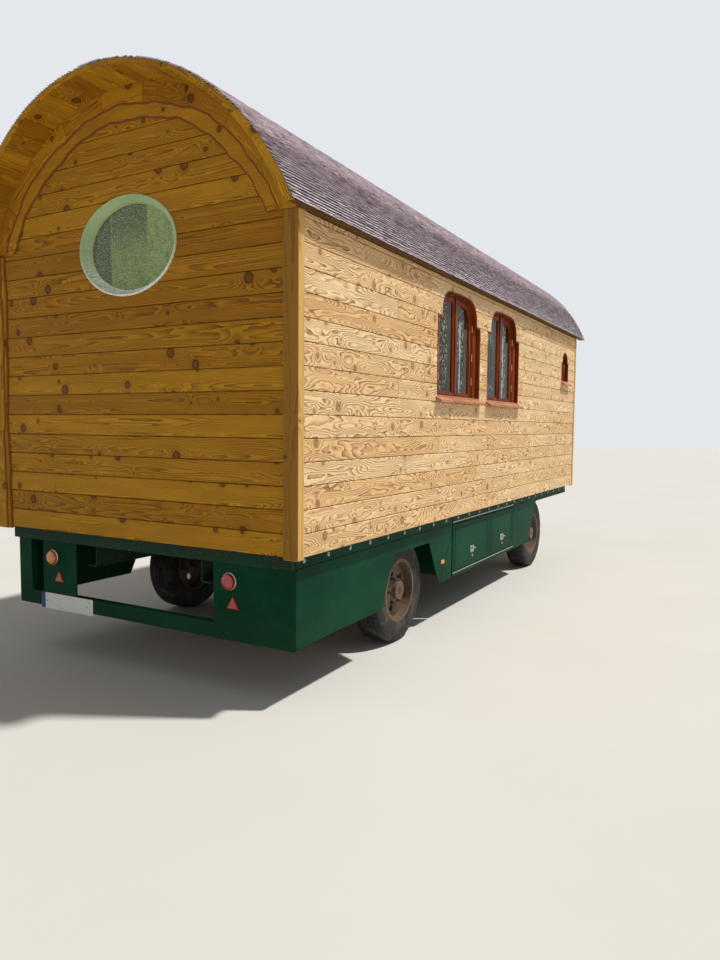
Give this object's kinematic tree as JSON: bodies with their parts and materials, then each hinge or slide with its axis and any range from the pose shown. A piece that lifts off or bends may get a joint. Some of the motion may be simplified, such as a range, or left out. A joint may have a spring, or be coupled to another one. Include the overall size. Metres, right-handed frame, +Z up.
{
  "type": "vardo wagon trailer",
  "caption": "Timber living wagon with barrel shingle roof, board walls and arched windows, on a steel turntable trailer chassis with side lockers and a drawbar.",
  "frame": {"origin": "on the ground under the middle of the bounding box, on the centre plane", "axes": "+X forward to the drawbar, +Y left, +Z up"},
  "size_m": [7.7954, 2.68, 3.66],
  "materials": {
    "larch": "oiled",
    "floor_wood": "matte",
    "shingles": "weathered",
    "ring_paint": "satin",
    "oval_glass": "speckled",
    "glass": "clear",
    "stained_wood": "satin",
    "handle_metal": "brushed",
    "green_paint": "worn gloss",
    "axle_paint": "dull",
    "spring_steel": "dull",
    "plate": "gloss",
    "lamp_red": "gloss",
    "reflector_red": "gloss",
    "tyre": "matte",
    "rim_paint": "rusty"
  },
  "bodies": {
    "root": {"floor": "floor_wood", "wall_right": "larch", "wall_left": "larch", "wall_rear": "larch", "wall_front": "larch", "post_rear_right": "larch", "post_rear_left": "larch", "posts_front": "larch", "gable_trim_rear": "larch", "gable_trim_front": "larch", "roof": "shingles", "oval_ring": "ring_paint", "oval_glass": "oval_glass", "windows_right": "stained_wood", "windows_left": "stained_wood", "glass_right": "glass", "glass_left": "glass", "sills_right": "stained_wood", "sills_left": "stained_wood", "door_frame": "stained_wood", "deck_frame": "green_paint", "main_rails": "green_paint", "skirt_right": "green_paint", "skirt_left": "green_paint", "locker_right": "green_paint", "locker_left": "green_paint", "rear_end": "green_paint", "number_plate": "plate", "tail_lamps": "lamp_red", "reflectors": "reflector_red", "rear_axle": "axle_paint", "rear_springs": "spring_steel", "turntable_ring": "axle_paint"},
    "dolly": {"dolly_frame": "axle_paint", "front_axle": "axle_paint", "front_springs": "spring_steel"},
    "drawbar": {"drawbar": "axle_paint"},
    "wheel_rear_right": {"tyre_rear_right": "tyre", "rim_rear_right": "rim_paint"},
    "wheel_rear_left": {"tyre_rear_left": "tyre", "rim_rear_left": "rim_paint"},
    "wheel_front_right": {"tyre_front_right": "tyre", "rim_front_right": "rim_paint"},
    "wheel_front_left": {"tyre_front_left": "tyre", "rim_front_left": "rim_paint"},
    "flap_right_rear": {"flap_right_rear": "green_paint"},
    "flap_right_front": {"flap_right_front": "green_paint"},
    "flap_left_rear": {"flap_left_rear": "green_paint"},
    "flap_left_front": {"flap_left_front": "green_paint"},
    "door": {"door_leaf": "stained_wood", "door_glass": "glass", "door_handle": "handle_metal"}
  },
  "joints": [
    {"name": "steering", "type": "hinge", "parent": "root", "child": "dolly", "pos_m": [1.43233, 0, 0.75], "axis": [0, 0, 1], "range_deg": [-75, 75]},
    {"name": "drawbar_lift", "type": "hinge", "parent": "dolly", "child": "drawbar", "pos_m": [1.98733, 0, 0.45], "axis": [0, -1, 0], "range_deg": [0, 24]},
    {"name": "door_swing", "type": "hinge", "parent": "root", "child": "door", "pos_m": [2.62863, 0.355, 0.97], "axis": [0, 0, 1], "range_deg": [0, 110]},
    {"name": "spin_rear_right", "type": "hinge", "parent": "root", "child": "wheel_rear_right", "pos_m": [-2.04267, -0.997, 0.385], "axis": [0, 1, 0], "continuous": true},
    {"name": "spin_rear_left", "type": "hinge", "parent": "root", "child": "wheel_rear_left", "pos_m": [-2.04267, 0.997, 0.385], "axis": [0, 1, 0], "continuous": true},
    {"name": "spin_front_right", "type": "hinge", "parent": "dolly", "child": "wheel_front_right", "pos_m": [1.43233, -0.997, 0.385], "axis": [0, 1, 0], "continuous": true},
    {"name": "spin_front_left", "type": "hinge", "parent": "dolly", "child": "wheel_front_left", "pos_m": [1.43233, 0.997, 0.385], "axis": [0, 1, 0], "continuous": true},
    {"name": "lift_flap_right_rear", "type": "hinge", "parent": "root", "child": "flap_right_rear", "pos_m": [-0.79267, -1.188, 0.788], "axis": [-1, 0, 0], "range_deg": [0, 90]},
    {"name": "lift_flap_right_front", "type": "hinge", "parent": "root", "child": "flap_right_front", "pos_m": [0.02733, -1.188, 0.788], "axis": [-1, 0, 0], "range_deg": [0, 90]},
    {"name": "lift_flap_left_rear", "type": "hinge", "parent": "root", "child": "flap_left_rear", "pos_m": [-0.79267, 1.188, 0.788], "axis": [1, 0, 0], "range_deg": [0, 90]},
    {"name": "lift_flap_left_front", "type": "hinge", "parent": "root", "child": "flap_left_front", "pos_m": [0.02733, 1.188, 0.788], "axis": [1, 0, 0], "range_deg": [0, 90]}
  ]
}
